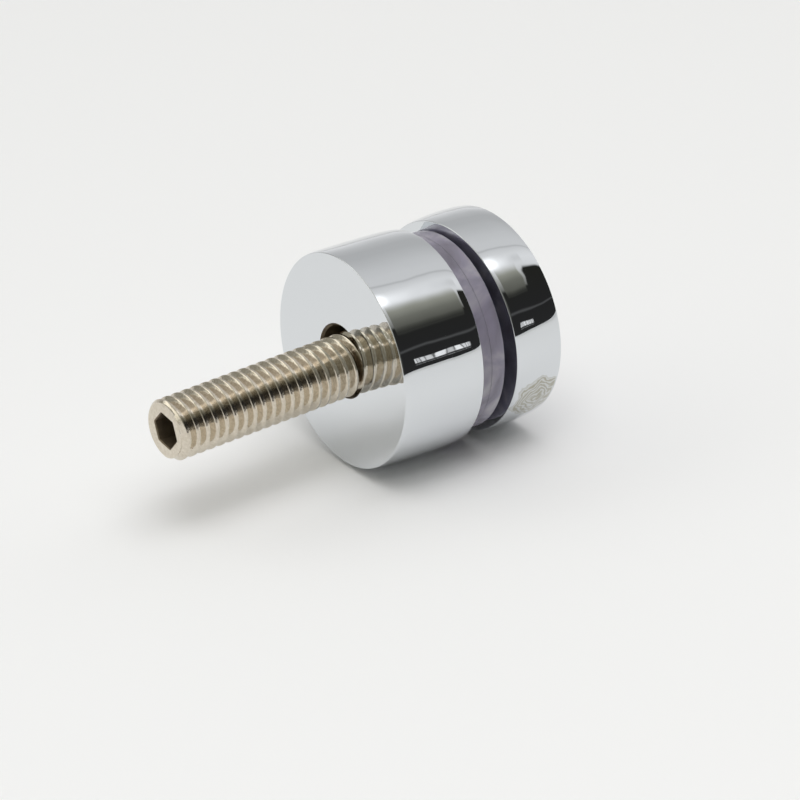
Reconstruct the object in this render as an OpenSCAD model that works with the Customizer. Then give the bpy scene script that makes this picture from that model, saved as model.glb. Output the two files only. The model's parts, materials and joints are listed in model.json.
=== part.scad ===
// Glass panel standoff, lying loose as it comes out of its bag: a threaded stud carries a barrel,
// two clear gaskets and a screw-on cap. A glass panel goes between the two gaskets, and the
// stud's free end goes into the wall. +X runs along the stud towards the cap, +Z is up, and the
// origin is on the stud's axis, in the plane of a wall that the barrel's foremost edge touches.

/* [Stud] */
// Outer diameter of the stud's thread, 5/16 in with the usual allowance
stud_d = 7.9; // [7:0.1:8.4]
// Whole length of the stud
stud_l = 48.9; // [44:0.1:80]
// Distance between the threads, 18 to the inch
thread_pitch = 1.411; // [0.8:0.001:1.8]
// Width of the bevel round both ends of the stud
stud_bevel = 0.35; // [0.1:0.05:0.8]
// Width across the flats of the hexagon socket, 5/32 in
socket_af = 3.97; // [3:0.01:4.6]
// Depth of the socket's flats
socket_depth = 4.0; // [2:0.1:8]
// Width of the bevel at the socket's mouth
socket_mouth = 0.25; // [0.1:0.05:0.5]
// How far the socket is turned about the stud, in degrees
socket_turn = 41; // [0:1:59]

/* [Barrel] */
// Outer diameter of the barrel and of the cap
barrel_d = 28; // [24:0.5:60]
// Length of the barrel, which is the distance kept between wall and glass
barrel_l = 11.7; // [8:0.1:16]
// Loose clearance round the stud in the barrel's hole
barrel_hole_play = 0.6; // [0.45:0.05:0.8]

/* [Cap] */
// Thickness of the cap
cap_l = 7; // [4:0.1:15]
// Thickness of metal left between the tapped hole and the cap's outer face
cap_floor = 1; // [0.6:0.1:2]
// Gap left at the bottom of the tapped hole
cap_end_gap = 0.5; // [0.2:0.1:1]
// Gap round the stud in the tapped hole
cap_thread_gap = 0.05; // [0.02:0.01:0.09]

/* [Gaskets] */
// How far the gaskets stand back from the barrel's side
gasket_inset = 1.3; // [0:0.1:5]
// Thickness of one gasket
gasket_t = 2; // [1:0.1:4]
// Clearance round the stud in the gaskets' holes
gasket_hole_play = 0.95; // [0.9:0.05:2]

/* [Edges] */
// Width of the bright bevel round the barrel and the cap
rim_bevel = 0.25; // [0.1:0.05:1]
// Width of the bevel at the mouth of each hole
hole_bevel = 0.3; // [0.1:0.05:0.4]
// Radius of the soft edge of the gaskets
gasket_edge = 0.2; // [0.05:0.05:0.45]

/* [Loose fit] */
// Sideways lean of the barrel on the stud, in degrees, while the cap isn't tightened
side_lean = 3.3; // [0:0.1:4]
// Downward lean of the barrel on the stud, in degrees
down_lean = 1.2; // [0:0.1:1.5]
// Least gap kept between the stud and the wall of the barrel's hole
hole_gap = 0.06; // [0.03:0.01:0.15]
// Gap between flat faces that lie on each other
face_gap = 0.02; // [0.01:0.01:0.05]

/* [Hidden] */
$fn = 96;

stud_r = stud_d / 2;
// Depth of a sharp sixty-degree thread cut to five eighths
thread_depth = 0.5413 * thread_pitch;
barrel_hole_r = stud_r + barrel_hole_play;
gasket_r = barrel_d / 2 - gasket_inset;
gasket_hole_r = stud_r + gasket_hole_play;
cap_hole_depth = cap_l - cap_floor;
stud_engaged = cap_hole_depth - cap_end_gap;
// How far the stud can move off the centre of the barrel's hole
play = barrel_hole_play - hole_gap;
half_l = barrel_l / 2;
// The hole lets the barrel lean no further than this
most_lean = asin(min(1, 0.7 * play / half_l));
lean_side = min(side_lean, most_lean);
lean_down = min(down_lean, most_lean / 2);
// How much of the barrel's own axis runs along the stud, and how much runs across it
lean_along = cos(lean_side) * cos(lean_down);
lean_across = sqrt(1 - lean_along * lean_along);
// Distance from the wall's plane to the middle of the barrel, whose foremost edge touches the wall
barrel_x = barrel_d / 2 * lean_across + half_l * lean_along;
// Height by which the middle of the barrel stands above the stud, which lies at the bottom of the hole
lift = sqrt(play * play - pow(half_l * sin(lean_side), 2)) - half_l * sin(lean_down);

// Both gaskets, measured along the barrel's axis from its wall face
near_gasket_x = barrel_l + face_gap;
far_gasket_x = near_gasket_x + gasket_t + face_gap;
stack_end = far_gasket_x + gasket_t;
// The cap's inner face lies on the edge of the far gasket that leans out furthest
stack_reach = barrel_x + (stack_end - half_l) * lean_along + gasket_r * lean_across;
cap_x = stack_reach + face_gap;
stud_x = cap_x + stud_engaged - stud_l;

// Turns a body drawn up the Z axis so that it runs along the stud
module along_stud() rotate([0, 90, 0]) children();

// Carries the barrel and its gaskets to where they lean on the stud
module leaning()
    translate([barrel_x, 0, lift])
        rotate([0, lean_down, -lean_side])
            translate([-half_l, 0, 0])
                children();

// Outline of a disc, bevelled round both rims
module disc_outline(r, l, bevel)
    polygon([[0, 0], [r - bevel, 0], [r, bevel], [r, l - bevel], [r - bevel, l], [0, l]]);

// Cutter for a hole from z = 0 downwards into a body, bevelled at its mouth
module hole_mouth(r, bevel)
    rotate_extrude()
        polygon([[0, -bevel], [r, -bevel], [r, 0], [r + bevel, bevel], [r + bevel, 2 * bevel], [0, 2 * bevel]]);

// The thread is fine and stays plain, apart from the one valley that ends the free stretch at the wall
module stud_blank() {
    valley_w = 2 * thread_depth * tan(30);
    rotate_extrude()
        difference() {
            disc_outline(stud_r, stud_l, stud_bevel);
            translate([stud_r, -stud_x])
                polygon([[1, 0], [0, 0], [-thread_depth, valley_w / 2], [0, valley_w], [1, valley_w]]);
        }
}

// Hexagon socket: a bevelled mouth, six flats and the cone left by the drill
module socket_cut() rotate([0, 0, socket_turn]) {
    corner_r = socket_af / sqrt(3);
    drill_r = socket_af / 2;
    translate([0, 0, -1])
        cylinder(r = corner_r, h = socket_depth + 1, $fn = 6);
    translate([0, 0, socket_depth - 0.01])
        cylinder(r1 = drill_r, r2 = 0, h = drill_r * tan(30) + 0.01);
    translate([0, 0, -0.01])
        cylinder(r1 = corner_r + 0.01, r2 = corner_r - socket_mouth, h = socket_mouth + 0.01);
}

module stud()
    color([0.74, 0.70, 0.64])
        translate([stud_x, 0, 0])
            along_stud()
                difference() {
                    stud_blank();
                    socket_cut();
                }

module barrel()
    color([0.82, 0.83, 0.85])
        leaning()
            along_stud()
                difference() {
                    rotate_extrude()
                        disc_outline(barrel_d / 2, barrel_l, rim_bevel);
                    translate([0, 0, -1])
                        cylinder(r = barrel_hole_r, h = barrel_l + 2);
                    for (end = [0, 1])
                        translate([0, 0, end * barrel_l])
                            mirror([0, 0, 1 - end])
                                translate([0, 0, -hole_bevel])
                                    hole_mouth(barrel_hole_r, hole_bevel);
                }

// One gasket: a flat ring with soft outer edges
module gasket_ring(x)
    leaning()
        translate([x, 0, 0])
            along_stud()
                rotate_extrude()
                    difference() {
                        gasket_section();
                        translate([-1, -1])
                            square([gasket_hole_r + 1, gasket_t + 2]);
                    }

module gasket_section() {
    square([gasket_r - gasket_edge, gasket_t]);
    translate([gasket_r - 2 * gasket_edge, gasket_edge])
        square([2 * gasket_edge, gasket_t - 2 * gasket_edge]);
    for (y = [gasket_edge, gasket_t - gasket_edge])
        translate([gasket_r - gasket_edge, y])
            circle(r = gasket_edge, $fn = 24);
}

module barrel_gasket()
    color([0.50, 0.47, 0.58])
        gasket_ring(near_gasket_x);

module cap_gasket()
    color([0.50, 0.47, 0.58])
        gasket_ring(far_gasket_x);

module cap() {
    hole_r = stud_r + cap_thread_gap;
    color([0.82, 0.83, 0.85])
        translate([cap_x, 0, 0])
            along_stud()
                difference() {
                    rotate_extrude()
                        disc_outline(barrel_d / 2, cap_l, rim_bevel);
                    translate([0, 0, -1])
                        cylinder(r = hole_r, h = cap_hole_depth + 1);
                    mirror([0, 0, 1])
                        translate([0, 0, -hole_bevel])
                            hole_mouth(hole_r, hole_bevel);
                }
}

stud();
barrel();
barrel_gasket();
cap_gasket();
cap();
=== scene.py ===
import json
import math

import bmesh
import bpy
from mathutils import Matrix, Vector


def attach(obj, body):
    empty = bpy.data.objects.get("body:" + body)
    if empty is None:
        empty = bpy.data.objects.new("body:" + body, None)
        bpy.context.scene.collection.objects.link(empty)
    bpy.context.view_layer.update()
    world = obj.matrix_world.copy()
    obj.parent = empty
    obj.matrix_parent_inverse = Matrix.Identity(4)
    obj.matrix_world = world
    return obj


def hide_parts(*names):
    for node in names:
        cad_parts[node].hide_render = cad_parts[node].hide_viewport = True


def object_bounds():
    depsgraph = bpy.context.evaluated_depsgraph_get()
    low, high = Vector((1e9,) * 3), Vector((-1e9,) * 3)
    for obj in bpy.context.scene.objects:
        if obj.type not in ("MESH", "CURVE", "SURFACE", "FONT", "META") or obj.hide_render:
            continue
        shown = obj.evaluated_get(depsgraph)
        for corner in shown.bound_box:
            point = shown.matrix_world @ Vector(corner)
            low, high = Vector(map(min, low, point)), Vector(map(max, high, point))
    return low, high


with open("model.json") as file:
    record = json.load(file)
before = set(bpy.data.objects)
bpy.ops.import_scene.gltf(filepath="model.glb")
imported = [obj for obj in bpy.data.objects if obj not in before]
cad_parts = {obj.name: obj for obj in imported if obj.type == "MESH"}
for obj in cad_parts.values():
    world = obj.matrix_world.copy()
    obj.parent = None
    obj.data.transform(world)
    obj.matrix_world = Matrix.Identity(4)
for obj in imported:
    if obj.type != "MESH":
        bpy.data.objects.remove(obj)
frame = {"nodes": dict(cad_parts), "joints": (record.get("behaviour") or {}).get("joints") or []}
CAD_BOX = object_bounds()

MM = 0.001
NODES = frame["nodes"]
JOINTS = {joint["name"]: joint for joint in frame["joints"]}

# ---------------------------------------------------------------- real sizes, in millimetres
THREAD_PITCH = 1.411  # 18 threads to the inch
THREAD_SLOPE = math.tan(math.radians(60))  # depth gained by a flank over its width
THREAD_CREST = 0.1  # where a flank begins, as a share of the pitch from the middle of a crest
THREAD_ROOT = 0.413  # where the flank ends
# Points along half a thread, as shares of the pitch from the middle of a crest, closer together at its edges
THREAD_STEPS = (0.0, 0.09, 0.12, 0.145, 0.17, 0.22, 0.34, 0.39, 0.42, 0.46, 0.5)
STUD_BEVEL = 0.35
SOCKET_FLATS = 3.97  # 5/32 in hexagon key
SOCKET_DEPTH = 4.0
SOCKET_MOUTH = 0.14  # bevel left round the hexagon by the broach
SOCKET_DRILL = 0.98  # width of the drilled bottom, as a share of the flats
SOCKET_CONE = 1.1  # depth of the drill's cone below the flats
SOCKET_SKIN = 0.02  # what lies less deep than this is still the stud's flat end
SOCKET_TURN = math.radians(11)  # where a corner of the hexagon lies
HOLE_BEVEL = 0.3
CAP_HOLE_R = 4.0
CAP_HOLE_DEPTH = 6.0
FACE_EDGE = 0.1  # how far in from its edge a flat face has a second point, which keeps it looking flat
RIM_POLISH = 0.1  # radius that the polishing wheel leaves on a rim
# How a polishing wheel leaves a side: lean of the long crown just inside the rims and further lean right at
# a rim, both in radians, and how far in from the rim that further lean fades away, in millimetres
BARREL_POLISH = (0.026, 0.13, 0.75)
CAP_POLISH = (0.045, 0.16, 1.1)
GASKET_EDGE = 0.2
GASKET_PRESSED = 0.06  # edge where one gasket is pressed against the other
JOIN_GAP = 0.002  # points closer than this are one point

# ---------------------------------------------------------------- how finely the pieces are drawn
TURNED_SIDES = 160
THREAD_SIDES = 72
THREAD_ANGLES = [2 * math.pi * side / THREAD_SIDES for side in range(THREAD_SIDES)]
SHARP_ANGLE = math.radians(40)  # faces that meet at more than this show an edge

# ---------------------------------------------------------------- where the pieces lie
BARREL_AXIS = Vector(JOINTS["barrel_turn"]["axis"]).normalized()
BARREL_MIDDLE = Vector(JOINTS["barrel_turn"]["pos_m"])
STUD_AXIS = Vector((1, 0, 0))
ORIGIN = Vector((0, 0, 0))


def measure(node, point, axis):
    """Start, end, outer radius and inner radius of a turned piece along its axis, in millimetres."""
    along, across = [], []
    for vertex in NODES[node].data.vertices:
        place = (vertex.co - point) / MM
        reach = place.dot(axis)
        along.append(reach)
        across.append((place - reach * axis).length)
    return min(along), max(along), max(across), min(across)


def place_on(point, axis):
    """Matrix that carries a piece drawn along +X, in millimetres, to an axis of the real piece."""
    turn = Vector((1, 0, 0)).rotation_difference(axis).to_matrix().to_4x4()
    return Matrix.Translation(point) @ turn @ Matrix.Scale(MM, 4)


def arc(x, r, radius, start, end, steps=6):
    """Points of an arc in the outline of a turned piece, around (x, r), angles in degrees."""
    points = []
    for step in range(steps + 1):
        angle = math.radians(start + (end - start) * step / steps)
        points.append((x + radius * math.cos(angle), r + radius * math.sin(angle)))
    return points


def lathe_point(x, r, angle):
    """Point at a radius and an angle round the X axis."""
    return x, r * math.cos(angle), r * math.sin(angle)


def put_in_scene(name, data):
    thing = bpy.data.objects.new(name, data)
    bpy.context.scene.collection.objects.link(thing)
    return thing


def finish_mesh(name, verts, faces, matrix, material):
    """Makes a piece of points in millimetres and the faces between them."""
    mesh = bpy.data.meshes.new(name)
    mesh.from_pydata([matrix @ Vector(v) for v in verts], [], faces)
    mesh.validate()
    mesh.materials.append(material)
    return put_in_scene(name, mesh)


def turned(name, outline, matrix, material):
    """Turns a closed outline of (x, r) points about the X axis, the way a lathe would."""
    verts, faces = [], []
    count = len(outline)
    for side in range(TURNED_SIDES):
        angle = 2 * math.pi * side / TURNED_SIDES
        verts += [lathe_point(x, r, angle) for x, r in outline]
        here, there = side * count, (side + 1) % TURNED_SIDES * count
        for k in range(count):
            n = (k + 1) % count
            faces.append((here + k, here + n, there + n, there + k))
    return finish_mesh(name, verts, faces, matrix, material)


def crowned_side(start, end, radius, polish, steps=26):
    """Points along a polished side, highest in its middle and rolled over at its rims."""
    crown, roll, reach = polish
    points = []
    half = (end - start) / 2
    for step in range(steps + 1):
        share = math.sin((step / steps - 0.5) * math.pi)  # closer together towards the rims
        inward = half * (1 - abs(share))
        fall = crown * half * share ** 2 / 2 + roll * reach * math.exp(-inward / reach)
        points.append((start + half * (1 + share), radius - fall))
    return points


def turned_disc(start, end, outer, polish, bore):
    """Outline of a polished disc; bore lists the points of its hole, from the far face to the near one."""
    p = RIM_POLISH
    side = crowned_side(start + p, end - p, outer, polish)
    rim = side[0][1]
    outline = [bore[-1], (start, bore[-1][1] + FACE_EDGE), (start, rim - p - FACE_EDGE)]
    outline += arc(start + p, rim - p, p, 180, 90)[:-1] + side + arc(end - p, rim - p, p, 90, 0)[1:]
    outline += [(end, rim - p - FACE_EDGE)] + bore[:-1]
    return outline


# ---------------------------------------------------------------- materials
CHROME_COLOUR = "DEE1E4"
REFLECTION_MIDDLE = (0.0218, -0.0127, -0.0066)  # middle of the painted reflection, wandering rings on the cap's side, in metres
REFLECTION_WANDER = 3.5  # how far its rings wander, in millimetres like the rest
REFLECTION_RING_GAP = 0.6  # distance between its rings
REFLECTION_FULL, REFLECTION_GONE = 5.3, 5.7  # from its middle, the wander included
SIDE_FULL, SIDE_GONE = 23.9, 24.2  # along the stud: the painted reflection stops where the cap's side rolls over
REFLECTION_DULLING = 0.09  # roughness added where the painted reflection is strongest


def linear(hex_colour):
    """Linear colour of an sRGB hex value."""
    channels = []
    for k in (0, 2, 4):
        value = int(hex_colour[k:k + 2], 16) / 255
        channels.append(value / 12.92 if value <= 0.04045 else ((value + 0.055) / 1.055) ** 2.4)
    return (*channels, 1.0)


def add(tree, kind, settings=None, links=None):
    """Adds a node, sets its properties, sockets or ramp stops, and links its inputs."""
    node = tree.nodes.new(kind)
    for key, value in (settings or {}).items():
        if key == "stops":
            elements = node.color_ramp.elements
            for position, colour in value[2:]:
                elements.new(position)
            for element, (position, colour) in zip(elements, value):
                element.position = position
                element.color = colour
        elif isinstance(key, str) and hasattr(node, key):
            setattr(node, key, value)
        else:
            node.inputs[key].default_value = value
    for key, source in (links or {}).items():
        tree.links.new(source, node.inputs[key])
    return node


def new_material(name):
    material = bpy.data.materials.new(name)
    material.use_nodes = True
    tree = material.node_tree
    tree.nodes.clear()
    return material, tree


def painted_reflection_rings(tree, place):
    """Share, 0 to 1, of the painted reflection on the cap's side, drawn as thin wandering rings."""
    wander = add(tree, "ShaderNodeTexNoise", {"Scale": 1 / (2.2 * MM), "Detail": 2.0}, {"Vector": place})
    away = add(tree, "ShaderNodeVectorMath", {"operation": "DISTANCE", 1: REFLECTION_MIDDLE}, {0: place})
    drift = add(tree, "ShaderNodeMath", {"operation": "MULTIPLY_ADD", 1: REFLECTION_WANDER * MM},
                {0: wander.outputs["Fac"], 2: away.outputs["Value"]})
    ring_phase = add(tree, "ShaderNodeMath", {"operation": "MULTIPLY", 1: 2 * math.pi / (REFLECTION_RING_GAP * MM)},
                 {0: drift.outputs[0]})
    wave = add(tree, "ShaderNodeMath", {"operation": "SINE"}, {0: ring_phase.outputs[0]})
    rings = add(tree, "ShaderNodeMapRange", {"From Min": -1.0, "To Min": 0.25, "To Max": 1.0},
                {"Value": wave.outputs[0]})
    spot = add(tree, "ShaderNodeMapRange", {"From Min": REFLECTION_GONE * MM, "From Max": REFLECTION_FULL * MM},
               {"Value": drift.outputs[0]})
    along = add(tree, "ShaderNodeSeparateXYZ", links={"Vector": place})
    on_side = add(tree, "ShaderNodeMapRange", {"From Min": SIDE_GONE * MM, "From Max": SIDE_FULL * MM},
                  {"Value": along.outputs["X"]})
    ringed_spot = add(tree, "ShaderNodeMath", {"operation": "MULTIPLY"},
                {0: spot.outputs["Result"], 1: rings.outputs["Result"]})
    return add(tree, "ShaderNodeMath", {"operation": "MULTIPLY"},
               {0: ringed_spot.outputs[0], 1: on_side.outputs["Result"]}).outputs[0]


def polished_chrome(name, ripple_depth, with_painted_reflection=False):
    """Bright chrome plated over a mirror polish: cool, with the faintest ripple left by the wheel.

    The ripple makes what it mirrors waver; its depth is in millimetres. Chrome with the painted reflection
    gets wandering rings of it, which darken and warm its colour and add roughness.
    """
    material, tree = new_material(name)
    place = add(tree, "ShaderNodeTexCoord").outputs["Object"]
    ripple = add(tree, "ShaderNodeTexNoise", {"Scale": 1 / (4 * MM), "Detail": 1.0}, {"Vector": place})
    lean = add(tree, "ShaderNodeBump", {"Strength": 0.3, "Distance": ripple_depth * MM},
               {"Height": ripple.outputs["Fac"]})
    haze = add(tree, "ShaderNodeTexNoise", {"Scale": 1 / (1.2 * MM), "Detail": 4.0}, {"Vector": place})
    rough = add(tree, "ShaderNodeMapRange", {"To Min": 0.01, "To Max": 0.04}, {"Value": haze.outputs["Fac"]})
    metal = add(tree, "ShaderNodeBsdfPrincipled",
                {"Base Color": linear(CHROME_COLOUR), "Metallic": 1.0},
                {"Roughness": rough.outputs["Result"], "Normal": lean.outputs["Normal"]})
    add(tree, "ShaderNodeOutputMaterial", links={"Surface": metal.outputs["BSDF"]})
    if with_painted_reflection:
        # rings of painted reflection: a darker, warmer colour there, and more roughness
        reflection_share = painted_reflection_rings(tree, place)
        tint = add(tree, "ShaderNodeMix",
                   {"data_type": "RGBA", 6: linear(CHROME_COLOUR), 7: linear("ABA899")}, {"Factor": reflection_share})
        dull = add(tree, "ShaderNodeMath", {"operation": "MULTIPLY_ADD", 1: REFLECTION_DULLING},
                   {0: reflection_share, 2: rough.outputs["Result"]})
        tree.links.new(tint.outputs[2], metal.inputs["Base Color"])
        tree.links.new(dull.outputs[0], metal.inputs["Roughness"])
    return material


def nickel_steel():
    """Rolled steel with thin nickel plating: warm and bright, broken up by a fine grain of duller spots."""
    material, tree = new_material("nickel_plated_steel")
    place = add(tree, "ShaderNodeTexCoord").outputs["Object"]
    grain = add(tree, "ShaderNodeTexNoise", {"Scale": 1 / (0.35 * MM), "Detail": 4.0}, {"Vector": place})
    tint = add(tree, "ShaderNodeValToRGB", {"stops": [(0.3, linear("CDC3B2")), (0.7, linear("E0D8CA"))]},
               {"Fac": grain.outputs["Fac"]})
    rough = add(tree, "ShaderNodeMapRange", {"To Min": 0.09, "To Max": 0.21}, {"Value": grain.outputs["Fac"]})
    marks = add(tree, "ShaderNodeBump", {"Strength": 0.4, "Distance": 0.03 * MM},
                {"Height": grain.outputs["Fac"]})
    metal = add(tree, "ShaderNodeBsdfPrincipled", {"Metallic": 1.0},
                {"Base Color": tint.outputs["Color"], "Roughness": rough.outputs["Result"],
                 "Normal": marks.outputs["Normal"]})
    add(tree, "ShaderNodeOutputMaterial", links={"Surface": metal.outputs["BSDF"]})
    return material


def dark_recess_steel():
    """Dull dark brown steel for the socket and the holes: painted shade of these recesses, mottled at random.
    """
    material, tree = new_material("painted_recess_shade")
    place = add(tree, "ShaderNodeTexCoord").outputs["Object"]
    mottle = add(tree, "ShaderNodeTexNoise", {"Scale": 1 / (1.5 * MM), "Detail": 2.0}, {"Vector": place})
    tint = add(tree, "ShaderNodeValToRGB", {"stops": [(0.35, linear("6A5E4E")), (0.7, linear("8A7C68"))]},
               {"Fac": mottle.outputs["Fac"]})
    metal = add(tree, "ShaderNodeBsdfPrincipled", {"Metallic": 0.7, "Roughness": 0.5},
                {"Base Color": tint.outputs["Color"]})
    add(tree, "ShaderNodeOutputMaterial", links={"Surface": metal.outputs["BSDF"]})
    return material


def clear_vinyl():
    """Clear vinyl stamped from soft sheet: a little violet, cloudy within, with a waxy sheen on its skin."""
    material, tree = new_material("clear_vinyl")
    place = add(tree, "ShaderNodeTexCoord").outputs["Object"]
    cloud = add(tree, "ShaderNodeTexNoise", {"Scale": 1 / (5 * MM), "Detail": 3.0, "Distortion": 0.6},
                {"Vector": place})
    tint = add(tree, "ShaderNodeValToRGB",
               {"stops": [(0.3, linear("7F7A88")), (0.5, linear("9893A4")), (0.7, linear("B9B6C0"))]},
               {"Fac": cloud.outputs["Fac"]})
    skin = add(tree, "ShaderNodeTexNoise", {"Scale": 1 / (0.6 * MM), "Detail": 3.0}, {"Vector": place})
    soft = add(tree, "ShaderNodeBump", {"Strength": 0.3, "Distance": 0.02 * MM},
               {"Height": skin.outputs["Fac"]})
    vinyl = add(tree, "ShaderNodeBsdfPrincipled",
                {"Roughness": 0.25, "IOR": 1.52, "Transmission Weight": 0.2,
                 "Subsurface Weight": 0.5, "Subsurface Scale": 3 * MM, "Subsurface Radius": (1, 1, 1)},
                {"Base Color": tint.outputs["Color"], "Normal": soft.outputs["Normal"]})
    add(tree, "ShaderNodeOutputMaterial", links={"Surface": vinyl.outputs["BSDF"]})
    return material


def white_table():
    """Matt white paint: hardly any sheen, so that the object leaves a shadow and no reflection."""
    material, tree = new_material("white_table")
    paint = add(tree, "ShaderNodeBsdfPrincipled",
                {"Base Color": linear("F3F3F4"), "Roughness": 0.6, "Specular IOR Level": 0.15})
    add(tree, "ShaderNodeOutputMaterial", links={"Surface": paint.outputs["BSDF"]})
    return material


# ---------------------------------------------------------------- pieces
def darken_bore(piece, point, axis, radius, material, behind=None):
    """Gives the faces of a hole, bevels included, a dark colour of their own: painted shade.

    In a hole that doesn't go through, behind is a reach along the axis between its floor and the far face.
    """
    piece.data.materials.append(material)
    for face in piece.data.polygons:
        place = (face.center - point) / MM
        reach = place.dot(axis)
        if (place - reach * axis).length < radius and (behind is None or reach < behind):
            face.material_index = 1


def build_barrel(material, bore_shade_material):
    start, end, outer, inner = measure("barrel", BARREL_MIDDLE, BARREL_AXIS)
    mouth = inner + HOLE_BEVEL
    bore = [(end, mouth + FACE_EDGE), (end, mouth), (end - HOLE_BEVEL, inner), (start + HOLE_BEVEL, inner),
            (start, mouth)]
    outline = turned_disc(start, end, outer, BARREL_POLISH, bore)
    shell = turned("barrel_shell", outline, place_on(BARREL_MIDDLE, BARREL_AXIS), material)
    darken_bore(shell, BARREL_MIDDLE, BARREL_AXIS, mouth, bore_shade_material)
    return shell


def build_gasket(name, node, near_edge, far_edge, material):
    start, end, outer, inner = measure(node, BARREL_MIDDLE, BARREL_AXIS)
    outline = [(start, inner), (start, outer - near_edge)]
    outline += arc(start + near_edge, outer - near_edge, near_edge, 180, 90)
    outline += arc(end - far_edge, outer - far_edge, far_edge, 90, 0)
    outline += [(end, inner)]
    return turned(name, outline, place_on(BARREL_MIDDLE, BARREL_AXIS), material)


def build_cap(material, bore_shade_material):
    start, end, outer, _ = measure("cap", ORIGIN, STUD_AXIS)
    floor, mouth = start + CAP_HOLE_DEPTH, CAP_HOLE_R + HOLE_BEVEL
    bore = [(end, 0.0), (floor, 0.0), (floor, CAP_HOLE_R), (start + HOLE_BEVEL, CAP_HOLE_R), (start, mouth)]
    outline = turned_disc(start, end, outer, CAP_POLISH, bore)
    head = turned("cap_head", outline, place_on(ORIGIN, STUD_AXIS), material)
    darken_bore(head, ORIGIN, STUD_AXIS, mouth, bore_shade_material, behind=(floor + end) / 2)
    return head


def thread_drop(share):
    """Depth below the crest, at a share of the pitch from the middle of a crest."""
    reach = abs((share + 0.5) % 1.0 - 0.5)
    return min(max(reach - THREAD_CREST, 0.0), THREAD_ROOT - THREAD_CREST) * THREAD_SLOPE * THREAD_PITCH


def hexagon_radius(flats, angle):
    """Distance from the middle of a hexagon to its edge, at an angle from one of its corners."""
    sixth = math.pi / 3
    return flats / 2 / math.cos(angle % sixth - sixth / 2)


def add_thread(verts, faces, start, end, outer):
    """Adds the right-handed thread, cut off square and bevelled at both ends of the stud."""
    shares = THREAD_STEPS + tuple(1 - share for share in THREAD_STEPS[-2:0:-1])
    turns = range(-2, math.ceil((end - start) / THREAD_PITCH) + 2)  # reaches past both ends before the cut
    rows = [turn + share for turn in turns for share in shares]
    count = len(rows)
    for side, angle in enumerate(THREAD_ANGLES):
        climb = side / THREAD_SIDES
        for row in rows:
            x = min(max(start + (row + climb) * THREAD_PITCH, start), end)
            threaded = outer - thread_drop((x - start) / THREAD_PITCH - climb)
            bevelled = outer - STUD_BEVEL + min(x - start, end - x)
            verts.append(lathe_point(x, min(threaded, bevelled), angle))
    for side in range(THREAD_SIDES):
        here, there = side * count, (side + 1) % THREAD_SIDES * count
        skip = len(shares) if side == THREAD_SIDES - 1 else 0  # once round, it's one pitch further on
        for k in range(count - 1):
            near, far = min(k + skip, count - 1), min(k + 1 + skip, count - 1)
            faces.append((here + k, here + k + 1, there + far, there + near))


def add_rings(verts, faces, rings):
    """Adds rings of points, each given as its x and its radii, and the faces from each ring to the next."""
    first = len(verts)
    for x, radii in rings:
        verts += [lathe_point(x, r, angle) for r, angle in zip(radii, THREAD_ANGLES)]
    for a in range(first, len(verts) - THREAD_SIDES, THREAD_SIDES):
        b = a + THREAD_SIDES
        for side in range(THREAD_SIDES):
            n = (side + 1) % THREAD_SIDES
            faces.append((a + side, a + n, b + n, b + side))


def build_stud(material, socket_shade_material):
    start, end, outer, _ = measure("stud", ORIGIN, STUD_AXIS)
    verts, faces = [], []
    add_thread(verts, faces, start, end, outer)

    def flat_end(x):
        """Radii of a flat end, where the thread's valley runs out through it."""
        drops = [thread_drop((x - start) / THREAD_PITCH - angle / (2 * math.pi)) for angle in THREAD_ANGLES]
        return [outer - max(STUD_BEVEL, drop) for drop in drops]

    middle = [0.0] * THREAD_SIDES
    drilled = [SOCKET_FLATS / 2 * SOCKET_DRILL] * THREAD_SIDES
    hexagon = [hexagon_radius(SOCKET_FLATS, angle - SOCKET_TURN) for angle in THREAD_ANGLES]
    mouth = [r + SOCKET_MOUTH for r in hexagon]
    floor = start + SOCKET_DEPTH
    add_rings(verts, faces, [(start, flat_end(start)), (start, mouth), (start + SOCKET_MOUTH, hexagon),
                             (floor, hexagon), (floor, drilled), (floor + SOCKET_CONE, middle)])
    add_rings(verts, faces, [(end, middle), (end, flat_end(end))])
    stud = finish_mesh("threaded_stud", verts, faces, place_on(ORIGIN, STUD_AXIS), material)

    # the socket's faces get the dark brown of painted shade
    stud.data.materials.append(socket_shade_material)
    for face in stud.data.polygons:
        place = face.center / MM
        narrow = math.hypot(place.y, place.z) < SOCKET_FLATS / math.sqrt(3) + SOCKET_MOUTH
        if narrow and start + SOCKET_SKIN < place.x < floor + SOCKET_CONE:
            face.material_index = 1
    return stud


def tidy(piece, gap):
    """Joins points that fall together, turns every face outwards and lets only the sharp edges show."""
    work = bmesh.new()
    work.from_mesh(piece.data)
    bmesh.ops.remove_doubles(work, verts=work.verts, dist=gap)
    bmesh.ops.dissolve_degenerate(work, edges=work.edges, dist=gap)
    bmesh.ops.recalc_face_normals(work, faces=work.faces)
    work.to_mesh(piece.data)
    work.free()
    piece.data.polygons.foreach_set("use_smooth", [True] * len(piece.data.polygons))
    piece.data.set_sharp_from_angle(angle=SHARP_ANGLE)


BARREL_CHROME = polished_chrome("polished_chrome", ripple_depth=0.12)
# the cap's chrome carries the rings of painted reflection
CAP_CHROME = polished_chrome("chrome_painted_reflection", ripple_depth=0.24, with_painted_reflection=True)
STEEL = nickel_steel()
# dark brown for the socket and the holes: painted shade of these recesses
RECESS_SHADE = dark_recess_steel()
VINYL = clear_vinyl()

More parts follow.
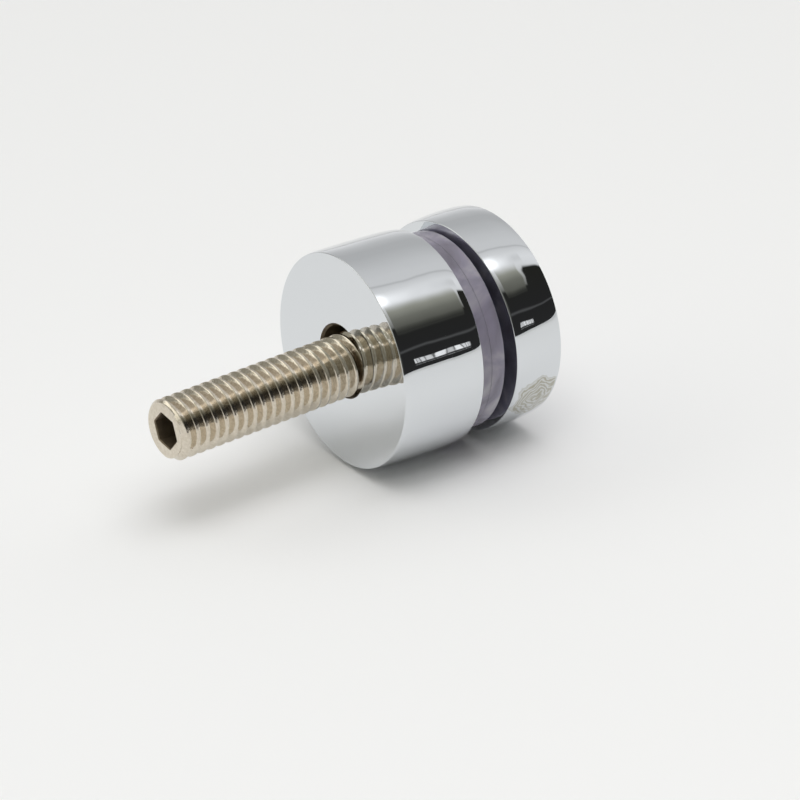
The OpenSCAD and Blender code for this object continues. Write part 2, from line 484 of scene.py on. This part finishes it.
PIECES = [
    (build_stud(STEEL, RECESS_SHADE), "stud", "stud", "stud_steel"),
    (build_barrel(BARREL_CHROME, RECESS_SHADE), "barrel", "barrel", "bright_chrome"),
    (build_gasket("barrel_gasket_ring", "barrel_gasket", GASKET_EDGE, GASKET_PRESSED, VINYL),
     "barrel_gasket", "barrel_gasket", "clear_gasket"),
    (build_gasket("cap_gasket_ring", "cap_gasket", GASKET_PRESSED, GASKET_EDGE, VINYL),
     "cap_gasket", "cap_gasket", "clear_gasket"),
    (build_cap(CAP_CHROME, RECESS_SHADE), "cap", "cap", "bright_chrome"),
]
for piece, node, body, slot in PIECES:
    tidy(piece, JOIN_GAP * MM)
    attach(piece, body)
    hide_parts(node)

# ---------------------------------------------------------------- stage
LOW, HIGH = CAD_BOX
MIDDLE = (LOW + HIGH) / 2
TABLE_REACH = 3.0  # half the table's width, in metres
WARMTH = (0.02, 0.02, -0.13)  # what full warmth adds to red, green and blue, as shares of the brightness
# The studio is charted by reach, which runs from -1 to 1 along +X, and by turn about the stud, where 0 is
# level behind the object, 0.5 overhead and 1 level in front. The polished sides hardly lean, so they show
# much of the turn and little of the reach, and the chart stretches the reach to keep its cards' corners round
CHART_STRETCH = 4


def build_table():
    corners = ((-1, -1), (1, -1), (1, 1), (-1, 1))
    mesh = bpy.data.meshes.new("table")
    mesh.from_pydata([(x * TABLE_REACH, y * TABLE_REACH, LOW.z) for x, y in corners], [], [(0, 1, 2, 3)])
    mesh.materials.append(white_table())
    table = put_in_scene("table", mesh)


def grey(level, warm=0.0):
    """Grey of a linear brightness, warmed by a share from 0 to 1."""
    return (*(level * (1 + shift * warm) for shift in WARMTH), 1.0)


def turn_stops(stops):
    """Ramp stops from (degrees round the stud, brightness, warmth)."""
    return [(degrees / 180, grey(level, warm)) for degrees, level, warm in stops]


def card(tree, chart, low, high, corner, soft):
    """Share, 0 to 1, of a round-cornered card between two (reach, turn) corners.

    corner is the radius of its corners and soft the width of its blurred edge, both on the stretched chart.
    """
    low, high = ((reach * CHART_STRETCH, turn) for reach, turn in (low, high))
    middle = [(a + b) / 2 for a, b in zip(low, high)]
    inner = [(b - a) / 2 - corner for a, b in zip(low, high)]
    off = add(tree, "ShaderNodeVectorMath", {"operation": "SUBTRACT", 1: (*middle, 0)}, {0: chart})
    away = add(tree, "ShaderNodeVectorMath", {"operation": "ABSOLUTE"}, {0: off.outputs[0]})
    past = add(tree, "ShaderNodeVectorMath", {"operation": "SUBTRACT", 1: (*inner, 1)}, {0: away.outputs[0]})
    out = add(tree, "ShaderNodeVectorMath", {"operation": "MAXIMUM", 1: (0, 0, 0)}, {0: past.outputs[0]})
    reach = add(tree, "ShaderNodeVectorMath", {"operation": "LENGTH"}, {0: out.outputs[0]})
    return add(tree, "ShaderNodeMapRange",
               {"interpolation_type": "SMOOTHSTEP", "From Min": corner, "From Max": corner - soft},
               {"Value": reach.outputs["Value"]}).outputs["Result"]


def studio_chart(tree):
    """Reach and turn of each direction, and the stretched chart of both."""
    way = add(tree, "ShaderNodeTexCoord").outputs["Generated"]
    parts = add(tree, "ShaderNodeSeparateXYZ", links={"Vector": way}).outputs
    angle = add(tree, "ShaderNodeMath", {"operation": "ARCTAN2"}, {0: parts["Z"], 1: parts["Y"]})
    turn = add(tree, "ShaderNodeMath", {"operation": "DIVIDE", 1: math.pi}, {0: angle.outputs[0]}).outputs[0]
    stretched = add(tree, "ShaderNodeMath", {"operation": "MULTIPLY", 1: CHART_STRETCH}, {0: parts["X"]})
    chart = add(tree, "ShaderNodeCombineXYZ", links={"X": stretched.outputs[0], "Y": turn}).outputs["Vector"]
    return parts["X"], turn, chart


def studio_room(tree, reach, turn):
    """Bright room with a warmer wall at the left, which has a bright patch of its own."""
    room = add(tree, "ShaderNodeValToRGB", {"stops": turn_stops([
        (0, 0.86, 0), (8, 0.72, 0), (18, 0.60, 0), (30, 0.53, 0), (42, 0.54, 0), (54, 0.60, 0),
        (66, 0.67, 0), (78, 0.72, 0), (87, 0.73, 0), (89, 0.56, 0), (91, 0.72, 0), (98, 0.85, 0),
        (104, 0.9, 0), (112, 0.85, 0), (122, 0.5, 0.3), (135, 0.15, 0.6), (150, 0.08, 0.6),
        (180, 0.06, 0.6)])}, {"Fac": turn}).outputs["Color"]
    left_wall = add(tree, "ShaderNodeValToRGB", {"stops": turn_stops([
        (0, 0.3, 0.6), (24, 0.35, 0.6), (36, 1.5, 0.4), (50, 1.5, 0.4), (62, 0.6, 0.8), (100, 0.4, 0.8),
        (180, 0.25, 0.8)])}, {"Fac": turn}).outputs["Color"]
    left = add(tree, "ShaderNodeMapRange",
               {"interpolation_type": "SMOOTHSTEP", "From Min": 0.0, "From Max": -0.35},
               {"Value": reach}).outputs["Result"]
    return add(tree, "ShaderNodeMix", {"data_type": "RGBA"},
               {"Factor": left, 6: room, 7: left_wall}).outputs[2]


def studio_cards(tree, reach, turn, chart):
    """What stands in the room, from the furthest to the nearest: its brightness and the card it fills."""
    lamp = add(tree, "ShaderNodeValToRGB", {"stops": [
        (0.36, grey(1.9)), (0.45, grey(1.15)), (0.507, grey(1.0)), (0.54, grey(0.85)), (0.6, grey(0.75))]},
               {"Fac": reach}).outputs["Color"]
    black = add(tree, "ShaderNodeValToRGB", {"stops": turn_stops([
        (120, 0.02, 1), (157, 0.022, 0), (159, 0.09, 0), (161, 0.022, 0), (180, 0.025, 0)])},
                {"Fac": turn}).outputs["Color"]
    olive = add(tree, "ShaderNodeValToRGB", {"stops": turn_stops([
        (108, 0.46, 1), (118, 0.34, 1), (127, 0.185, 1), (138, 0.095, 1), (141, 0.09, 1), (142, 0.2, 1),
        (145, 0.2, 1)])}, {"Fac": turn}).outputs["Color"]
    panes = add(tree, "ShaderNodeTexBrick", {
        "offset": 0.0, "Color1": grey(1.1), "Color2": grey(0.6), "Mortar": grey(0.06), "Scale": 1.0,
        "Mortar Size": 0.005, "Mortar Smooth": 0.2, "Brick Width": 0.05, "Row Height": 0.0335},
                {"Vector": chart}).outputs["Color"]
    return [
        (lamp, card(tree, chart, (-0.5, 0.53), (0.65, 0.635), 0.05, 0.05)),
        (black, card(tree, chart, (0.2, 0.74), (0.95, 1.2), 0.06, 0.02)),
        (black, card(tree, chart, (0.604, 0.63), (0.95, 1.0), 0.06, 0.02)),
        (olive, card(tree, chart, (0.29, 0.605), (0.598, 0.80), 0.09, 0.06)),
        (panes, card(tree, chart, (0.413, 0.938), (0.541, 0.978), 0.004, 0.003)),
    ]


def build_surroundings():
    """Studio round the table, as the polish mirrors it and as it lights the object."""
    world = bpy.data.worlds.new("studio")
    world.use_nodes = True
    bpy.context.scene.world = world
    tree = world.node_tree
    tree.nodes.clear()
    reach, turn, chart = studio_chart(tree)
    colour = studio_room(tree, reach, turn)
    for over, share in studio_cards(tree, reach, turn, chart):
        laid = add(tree, "ShaderNodeMix", {"data_type": "RGBA"}, {"Factor": share, 6: colour, 7: over})
        colour = laid.outputs[2]
    sky = add(tree, "ShaderNodeBackground", {"Strength": 1.0}, {"Color": colour})
    add(tree, "ShaderNodeOutputWorld", links={"Surface": sky.outputs["Background"]})


def soft_light(name, place, size, power):
    """Square light, in metres and watts, that looks at the object and doesn't show in the mirror polish."""
    lamp = bpy.data.lights.new(name, "AREA")
    lamp.shape = "SQUARE"
    lamp.size = size
    lamp.energy = power
    light = put_in_scene(name, lamp)
    light.location = place
    light.rotation_euler = (MIDDLE - place).to_track_quat("-Z", "Y").to_euler()
    light.visible_glossy = False


def build_camera():
    """Long lens that looks from the front left and from above, tilted a little."""
    azimuth, elevation, roll = (math.radians(a) for a in (-37.5, 27.82, -1.15))
    distance = 558.4 * MM
    aim = MIDDLE + Vector((5.08, -6.92, -3.44)) * MM
    back = Vector((math.sin(azimuth) * math.cos(elevation), -math.cos(azimuth) * math.cos(elevation),
                   math.sin(elevation)))
    camera = put_in_scene("camera", bpy.data.cameras.new("camera"))
    camera.data.lens = 204.3
    camera.data.sensor_width = 36
    camera.data.clip_start = 0.01
    look = (-back).to_track_quat("-Z", "Y").to_matrix().to_4x4()
    camera.matrix_world = Matrix.Translation(aim + back * distance) @ look @ Matrix.Rotation(roll, 4, "Z")
    bpy.context.scene.camera = camera


build_table()
build_surroundings()
soft_light("overhead_light", place=Vector((-0.1, -0.25, 0.88)), size=0.8, power=4.2)
build_camera()
bpy.context.scene.view_settings.view_transform = "Standard"
